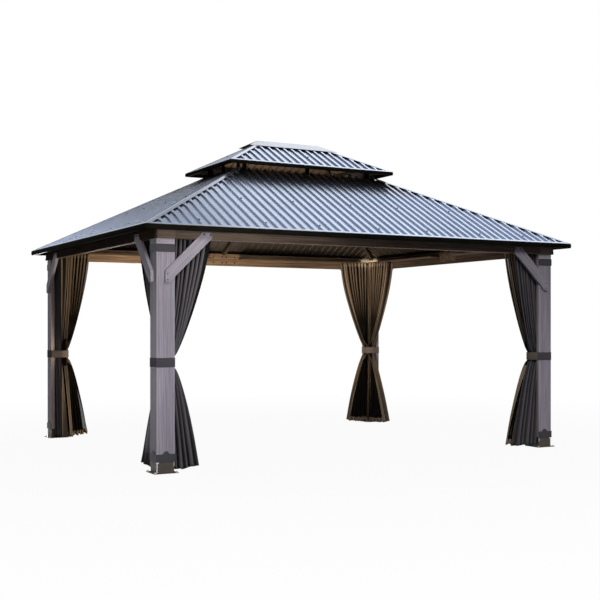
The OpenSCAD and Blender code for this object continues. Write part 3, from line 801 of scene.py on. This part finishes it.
def hang_corner(corner, seed):
    """Hangs a curtain and a net along both legs of a corner."""
    for turned, way in enumerate("xy"):
        drape = Gather(CURTAIN, corner, turned, seed)
        faces = [curtain_outer, curtain_inner_painted_light]
        cloth = gathered_sheet(f"{corner}_curtain_{way}", drape, faces, CURTAIN_THICK)
        finish_piece(cloth)

        mesh = Gather(NET, corner, turned, seed + NET_SEEDS)
        net = gathered_sheet(f"{corner}_net_{way}", mesh, [net_cloth])
        for part, strip in (("heading", {"z_range": (mesh.heading_z, CLOTH_TOP)}),
                            ("hem", {"z_range": (NET.low, mesh.hem_z)}),
                            ("edge", {"s_range": (EDGE_START, 1.0), "columns": 6})):
            band = gathered_sheet(f"{corner}_net_{part}_{way}", mesh, [band_cloth], BINDING_THICK, **strip)
            finish_piece(band)
        finish_piece(net)
    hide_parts(f"{corner}_curtains")
    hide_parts(f"{corner}_nets")


for number, corner in enumerate(CORNERS):
    hang_corner(corner, FIRST_SEED + number * CORNER_SEEDS)


# ---- tie straps

# How far the strap's outer face lies off the post and the bunch, its thickness and its steps
STRAP_LIFT = 0.0019
STRAP_THICK = 0.0016
STRAP_STEPS = 220

# Across the strap: share of its width, and how far it stands out, most at its turned edges
STRAP_PROFILE = ((0.0, 0.0006), (0.1, 0.001), (0.115, -0.0001), (0.13, 0.0), (0.5, 0.0003), (0.87, 0.0),
                 (0.885, -0.0001), (0.9, 0.001), (1.0, 0.0006))


def circle(u, v, radius, count):
    turns = [math.tau * i / count for i in range(count)]
    return [(u + radius * math.cos(turn), v + radius * math.sin(turn)) for turn in turns]


def cross(a, b, c):
    return (b[0] - a[0]) * (c[1] - a[1]) - (b[1] - a[1]) * (c[0] - a[0])


def hull_outline(points):
    """The convex outline of plan points, counter-clockwise."""
    outline = []
    for way in (1, -1):
        chain = []
        for p in sorted(points)[::way]:
            while len(chain) > 1 and cross(chain[-2], chain[-1], p) <= 0:
                chain.pop()
            chain.append(p)
        outline += chain[:-1]
    return outline


def even_loop(points, count):
    """The same closed outline with evenly spaced points, and its length."""
    closed = points + [points[0]]
    steps = [math.dist(a, b) for a, b in zip(closed, closed[1:])]
    total = sum(steps)
    result = []
    i = 0
    run = 0.0
    for n in range(count):
        target = total * n / count
        while run + steps[i] < target:
            run += steps[i]
            i += 1
        t = (target - run) / steps[i]
        result.append([lerp(a, b, t) for a, b in zip(closed[i], closed[i + 1])])
    return result, total


def tie_strap(corner):
    """A webbing strap round the post and the bunch, with turned edges."""
    low, high = TIE_LOW, TIE_TOP
    samples = circle(BUNCH_CENTRE, BUNCH_CENTRE, BUNCH_RADIUS + STRAP_LIFT, 90)
    for u, v in ((0, 0), (POST_LEG, 0), (POST_LEG, CLOTH_OUT), (CLOTH_OUT, POST_LEG), (0, POST_LEG)):
        samples += circle(u, v, STRAP_LIFT, 12)
    loop, length = even_loop(hull_outline(samples), STRAP_STEPS)
    verts = []
    for n, (u, v) in enumerate(loop):
        before, after = loop[n - 1], loop[(n + 1) % STRAP_STEPS]
        du, dv = after[0] - before[0], after[1] - before[1]
        size = math.hypot(du, dv)
        slack = max(0.0, noise.noise(Vector((u * 14, v * 14, 3.0)))) * 0.0012
        wander = 0.0015 * noise.noise(Vector((u * 9, v * 9, 11.0)))
        for share, bulge in STRAP_PROFILE:
            push = bulge + slack * math.sin(math.pi * share)
            verts.append(corner_point(corner, u + dv / size * push, v - du / size * push,
                                      lerp(low, high, share) + wander))
    across = len(STRAP_PROFILE)
    faces = strip_faces(STRAP_STEPS, across, True, math.prod(CORNERS[corner]) > 0)
    obj = mesh_object(f"{corner}_tie", verts, faces, [tie_cloth])
    layer = obj.data.uv_layers.new(name="cloth")
    for polygon in obj.data.polygons:
        closing = polygon.index // (across - 1) == STRAP_STEPS - 1
        for index in polygon.loop_indices:
            n, i = divmod(obj.data.loops[index].vertex_index, across)
            step = STRAP_STEPS if closing and n == 0 else n
            layer.data[index].uv = (STRAP_PROFILE[i][0] * (high - low), step * length / STRAP_STEPS)
    solid = obj.modifiers.new("thickness", "SOLIDIFY")
    solid.thickness = STRAP_THICK
    solid.offset = -1.0
    bake_modifiers(obj)
    finish_piece(obj)
    return obj


ties = [tie_strap(corner) for corner in CORNERS]
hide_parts("curtain_ties")


# ---- bolts, plates and strips

# Height of the base plates' top, and the anchors' distance from the post's middle
PLATE_TOP = 0.0052
ANCHOR_REACH = 0.089

# Turn from one bolt's head to the next
BOLT_TURN = 0.37

SCREW_RIBS = (0, 6, 13, 19, 26, -7, -13, -20, -27)
UPPER_LIFT = RIB_HEIGHT + TIER_GAP * math.cos(SLOPE_ANGLE)

# Rows of roof screws: inset from the eave and lift off the lower sheets' underside
SCREW_ROWS = ((0.125, RIB_HEIGHT), (0.63, RIB_HEIGHT), (1.14, RIB_HEIGHT), (1.482, UPPER_LIFT))


def stamp(bm, template, matrix):
    """Adds a copy of a template bmesh to another."""
    made = {v: bm.verts.new(matrix @ v.co) for v in template.verts}
    for face in template.faces:
        bm.faces.new([made[v] for v in face.verts])


def facing(place, direction, turn):
    """A matrix that puts local +Z along a direction at a place, turned about that axis."""
    aim = Vector(direction).to_track_quat("Z", "Y").to_matrix().to_4x4()
    return Matrix.Translation(place) @ aim @ Matrix.Rotation(turn, 4, "Z")


def bolt_template(head_r, head_h, washer_r, washer_h, sides=6):
    """A head with a chamfered top on a round washer, its seat at z = 0."""
    bm = bmesh.new()
    foot = 0.0
    for segments, low_r, top_r, height in ((20, washer_r, washer_r * 0.94, washer_h),
                                           (sides, head_r, head_r, head_h * 0.75),
                                           (sides, head_r, head_r * 0.78, head_h * 0.25)):
        bmesh.ops.create_cone(bm, cap_ends=True, segments=segments, radius1=low_r, radius2=top_r,
                              depth=height, matrix=Matrix.Translation((0, 0, foot + height / 2)))
        foot += height
    return bm


def bolts(name, sizes, places, material=bolt_black):
    """One joined piece of like bolts. Each place is a point and the way the head faces."""
    template = bolt_template(*sizes)
    bm = bmesh.new()
    for count, (point, direction) in enumerate(places):
        stamp(bm, template, facing(point, direction, count * BOLT_TURN))
    template.free()
    flat_piece(bm, name, material)


def slope_place(side, run, inset, lift):
    """A point inset from the eave and lifted off the sheet's underside, and the slope's normal."""
    z = EAVE_Z + math.tan(SLOPE_ANGLE) * inset + lift / math.cos(SLOPE_ANGLE)
    out = [s * math.sin(SLOPE_ANGLE) for s in SIDES[side]]
    return side_point(side, EAVES, run, inset, z), (*out, math.cos(SLOPE_ANGLE))


def roof_screws():
    """Washer-head screws on the rib crowns, in rows up each slope."""
    places = []
    for side in SIDES:
        for inset, lift in SCREW_ROWS:
            for rib in SCREW_RIBS:
                run = (rib + 0.5) * PITCH
                if abs(run) < side_half(side, EAVES) - inset - 0.12:
                    places.append(slope_place(side, run, inset, lift + 0.0002))
    bolts("roof_screws", (0.0055, 0.005, 0.0095, 0.0014), places)


def brace_bolts():
    """Two bolts at the top and two screws at the foot of every knee brace."""
    for name, head, spots in (("brace_bolts", 0.0068, ((0.39, 0.015), (0.4465, 0.015))),
                              ("brace_screws", 0.0042, ((0.082, 0.386), (0.082, 0.338)))):
        places = []
        for side, (sx, sy) in SIDES.items():
            half = side_half(side, POSTS)
            for end in (-1, 1):
                for run, down in spots:
                    place = side_point(side, POSTS, end * (half - run), -BRACE_OUT, BRACE_TOP - down)
                    places.append((place, (sx, sy, 0)))
        bolts(name, (head, head * 0.65, head * 1.4, 0.0011), places)


def splice_bolts():
    """Two rows of bolts through each splice plate into the beams' ends."""
    middle = (splice_lo.z + splice_hi.z) / 2
    row = (splice_hi.z - splice_lo.z) * 0.34
    places = []
    for side, (sx, sy) in SIDES.items():
        for run in (-0.13, -0.025, 0.025, 0.13):
            for z in (middle - row, middle + row):
                places.append((side_point(side, POSTS, run, CLOTH_OUT + 0.0026, z), (-sx, -sy, 0)))
    bolts("splice_bolts", (0.0062, 0.0045, 0.009, 0.0012), places)


def anchor_bolts():
    """Hex anchors with washers through each base plate's holes."""
    holes = (POST_LEG / 2 - ANCHOR_REACH, POST_LEG / 2 + ANCHOR_REACH)
    places = [(corner_point(corner, u, v, PLATE_TOP), (0, 0, 1))
              for corner in CORNERS for u in holes for v in holes]
    bolts("anchor_bolts", (0.0085, 0.0075, 0.0115, 0.002), places, bare_steel)


def box_part(bm, p, q):
    """Adds a box between two opposite corners."""
    size = [abs(b - a) for a, b in zip(p, q)]
    middle = [(a + b) / 2 for a, b in zip(p, q)]
    bmesh.ops.create_cube(bm, size=1.0, matrix=Matrix.Translation(middle) @ Matrix.Diagonal((*size, 1.0)))


def leg_boxes(boxes):
    """Boxes on both legs of every corner. Each has its run, its insets and its heights."""
    bm = bmesh.new()
    for corner in CORNERS:
        for swap in (False, True):
            for ranges in boxes:
                box_part(bm, *(leg_point(corner, swap, *place) for place in zip(*ranges)))
    return bm


def foot_edges():
    """Each foot's bare galvanised edges: the folded corner, its hook and both legs' ends."""
    low, high = PLATE_TOP + 0.0001, FOOT_TOP - 0.006
    skin = (0.0016, 0.0028)
    bm = leg_boxes([((skin[0], 0.008), skin, (low, high)), ((0.008, 0.02), skin, (high - 0.009, high)),
                    ((POST_LEG - 0.007, POST_LEG - 0.003), skin, (high - 0.035, high))])
    bmesh.ops.bevel(bm, geom=bm.edges[:], offset=0.0003, segments=1, affect="EDGES")
    flat_piece(bm, "foot_edges", bare_steel)


def framed_plate(bm, corner, swap, run, height, face, rim):
    """A thin pressed plate on an outer face: a chamfered rim round a field set back a little."""
    def ring(border, lift):
        u0, u1 = run[0] + border, run[1] - border
        z0, z1 = height[0] + border, height[1] - border
        return [bm.verts.new(leg_point(corner, swap, u, face - lift, z))
                for u, z in ((u0, z0), (u1, z0), (u1, z1), (u0, z1))]

    rings = [ring(0.0, 0.0), ring(0.0, 0.001), ring(0.0006, 0.0016), ring(rim, 0.0016),
             ring(rim + 0.0006, 0.0007)]
    made = [bm.faces.new(rings[0]), bm.faces.new(rings[-1])]
    for a, b in zip(rings, rings[1:]):
        for i in range(4):
            j = (i + 1) % 4
            made.append(bm.faces.new((a[i], a[j], b[j], b[i])))
    bmesh.ops.recalc_face_normals(bm, faces=made)


def post_collars():
    """A pressed collar with screws on both outer faces of each post, under the beam."""
    low, high = BAND_TOP + 0.0008, beam_lo.z - 0.0008
    bm = bmesh.new()
    places = []
    for corner, (sx, sy) in CORNERS.items():
        for swap in (False, True):
            framed_plate(bm, corner, swap, (0.0, POST_LEG), (low, high), 0.0, 0.007)
        for run in (0.022, POST_LEG - 0.022):
            for swap, out in ((False, (0, sy, 0)), (True, (sx, 0, 0))):
                places.append((leg_point(corner, swap, run, -0.0006, (low + high) / 2), out))
    flat_piece(bm, "post_collars", collar_coat)
    bolts("collar_screws", (0.0024, 0.0016, 0.0034, 0.0005, 8), places)


def beam_end_covers():
    """A plain cover over the flutes at both ends of the long beams' outer faces."""
    bm = bmesh.new()
    for corner in CORNERS:
        framed_plate(bm, corner, False, (0.0006, POST_LEG), (beam_lo.z + 0.0006, beam_hi.z - 0.001),
                     POST_Y + beam_lo.y, 0.004)
    flat_piece(bm, "beam_end_covers", cover_coat)


def corner_brackets():
    """A folded bracket in the inner corner over each post's tracks, with slots down both legs."""
    low, high = TRACK_TOP + 0.0012, RAFTER_LOW - 0.0012
    inner, end = CLOTH_OUT - 0.0003, 0.182
    bars = ((inner, 0.06), (0.064, 0.088), (0.092, 0.116), (0.12, 0.144), (0.148, end))
    boxes = [(bar, (inner, inner + 0.003), (low, high)) for bar in bars]
    boxes += [((inner, end), (inner + 0.0005, inner + 0.0025), heights)
              for heights in ((low, low + 0.004), (high - 0.004, high))]
    flat_piece(leg_boxes(boxes), "corner_brackets", bracket_coat)


def eave_shade_strips():
    """Black strips on the beams under the sheets: painted shade in the gap there."""
    bm = bmesh.new()
    for side in SIDES:
        half = side_half(side, POSTS)
        for end in (-1, 1):
            box_part(bm, side_point(side, POSTS, end * 0.035, 0.025, beam_hi.z + 0.0002),
                     side_point(side, POSTS, end * (half - POST_LEG - 0.005), 0.029, beam_hi.z + 0.0295))
    bmesh.ops.bevel(bm, geom=bm.edges[:], offset=0.0008, segments=2, affect="EDGES")
    flat_piece(bm, "eave_shade_strips", black_coat)


roof_screws()
brace_bolts()
splice_bolts()
anchor_bolts()
foot_edges()
post_collars()
beam_end_covers()
corner_brackets()
eave_shade_strips()


# ---- floor, light and camera

WHITE = (1.0, 1.0, 1.0)
WARM = (1.0, 0.88, 0.72)
FLOOR_HALF = 30.0


def studio_white(tree, shader, white_kind, share):
    """Mixes in plain white where the camera, a mirror or glass looks straight at it."""
    path = add_node(tree, "LightPath", ()).node.outputs
    seen = add_up(tree, path["Is Glossy Ray"], path["Is Transmission Ray"])
    seen = add_up(tree, path["Is Camera Ray"], seen)
    part = add_node(tree, "Math", (seen, share), operation="MULTIPLY")
    white = add_node(tree, white_kind, {"Color": (*WHITE, 1.0), "Strength": 1.0})
    return add_node(tree, "MixShader", (part, shader, white))


def add_up(tree, a, b):
    total = add_node(tree, "Math", (a, b), operation="ADD")
    total.node.use_clamp = True
    return total


def make_floor():
    """A pale floor that keeps the shadow and runs into the white background further out."""
    corners = [(sx * FLOOR_HALF, sy * FLOOR_HALF, 0) for sx, sy in CORNERS.values()]
    floor = mesh_object("floor", corners, [(0, 1, 2, 3)], [])
    material = bpy.data.materials.new("pale floor")
    tree = empty_tree(material)
    plain = add_node(tree, "BsdfDiffuse", {"Color": (0.3, 0.3, 0.3, 1.0)})
    place = add_node(tree, "TexCoord", (), "Object")
    far = add_node(tree, "VectorMath", [place], "Value", "LENGTH")
    share = add_node(tree, "MapRange", (far, 2.5, 8.0, 0.95, 1.0))
    feed(tree.nodes.new("ShaderNodeOutputMaterial"), [studio_white(tree, plain, "Emission", share)])
    floor.data.materials.append(material)
    floor.location.z = -0.0005


def make_world(strength):
    world = bpy.data.worlds.new("studio")
    scene.world = world
    tree = empty_tree(world)
    sky = add_node(tree, "Background", {"Color": (0.97, 0.98, 1.0, 1.0), "Strength": strength})
    feed(tree.nodes.new("ShaderNodeOutputWorld"), [studio_white(tree, sky, "Background", 1.0)])


def lamp(name, place, target, size, power, colour=WHITE):
    data = bpy.data.lights.new(name, "AREA")
    data.shape = "RECTANGLE"
    data.size, data.size_y = size
    aim(data, place, target, power, colour)


def spot(name, place, target, angle, power, colour=WHITE, soft=0.5):
    data = bpy.data.lights.new(name, "SPOT")
    data.spot_size = math.radians(angle)
    data.spot_blend = 1.0
    data.shadow_soft_size = soft
    aim(data, place, target, power, colour)


def aim(data, place, target, power, colour):
    """Puts a light in the scene, hidden from the camera."""
    data.energy = power
    data.color = colour
    obj = bpy.data.objects.new(data.name, data)
    obj.location = place
    obj.rotation_euler = (Vector(target) - Vector(place)).to_track_quat("-Z", "Y").to_euler()
    obj.visible_camera = False
    scene.collection.objects.link(obj)


def make_camera():
    """The camera solved from the photo's straight edges: level, with a small shift."""
    data = bpy.data.cameras.new("camera")
    data.sensor_width = 36.0
    data.lens = 65.416
    data.shift_x = -0.09356
    data.shift_y = 0.04516
    data.clip_end = 200.0
    camera = bpy.data.objects.new("camera", data)
    camera.location = (-4.91946, -9.91617, 1.15791)
    camera.rotation_euler = (math.radians(90.0), 0.0, math.radians(-29.9333))
    scene.collection.objects.link(camera)
    scene.camera = camera


make_floor()
make_world(0.06)
lamp("top", (-1.0, -1.0, 9.0), (-1.0, -1.0, 0.0), (8.0, 8.0), 200.0)
lamp("key", (-2.2, -9.5, 6.3), (-1.9, -1.7, 1.2), (2.5, 2.5), 500.0)
spot("side_spot", (-6.2, -4.0, 0.9), (-2.0, -1.6, 0.88), 23.0, 290.0)
spot("near_low", (-1.8, -5.8, 0.5), (-1.92, -1.7, 0.45), 34.0, 200.0)
spot("left_low", (-6.4, -2.6, 0.3), (-1.97, -1.36, 0.27), 4.6, 540.0, (0.98, 0.97, 1.0), 0.02)
spot("near_spot", (-1.8, -4.8, 1.7), (-1.25, -1.7, 1.86), 40.0, 340.0, (1.0, 0.95, 0.9))
spot("post_spot", (3.2, -6.5, 0.4), (1.95, -1.7, 0.5), 22.0, 225.0)
lamp("inner_warm", (-0.6, 0.5, 0.15), (-0.8, 1.3, 3.0), (1.0, 1.0), 45.0, (1.0, 0.82, 0.6))
spot("corner_warm", (0.4, 0.0, 1.0), (1.85, 1.5, 1.28), 52.0, 170.0, WARM)
spot("left_warm", (-0.9, -0.2, 1.0), (-1.8, 1.5, 1.05), 44.0, 50.0, WARM)
spot("bracket_spot", (-0.6, -0.6, 1.86), (1.88, 1.57, 1.972), 5.2, 430.0, (1.0, 0.93, 0.8), 0.02)
lamp("roof_sky", (5.3, 3.7, 7.7), (0.2, -1.4, 2.1), (7.0, 3.5), 150.0, (0.96, 0.98, 1.0))
lamp("back_fill", (0.5, 9.0, 1.2), (0.0, 1.7, 1.2), (3.0, 1.2), 260.0)
lamp("right_fill", (9.5, 0.5, 1.2), (2.0, 0.0, 1.2), (3.0, 1.2), 160.0)
make_camera()
scene.view_settings.view_transform = "Standard"
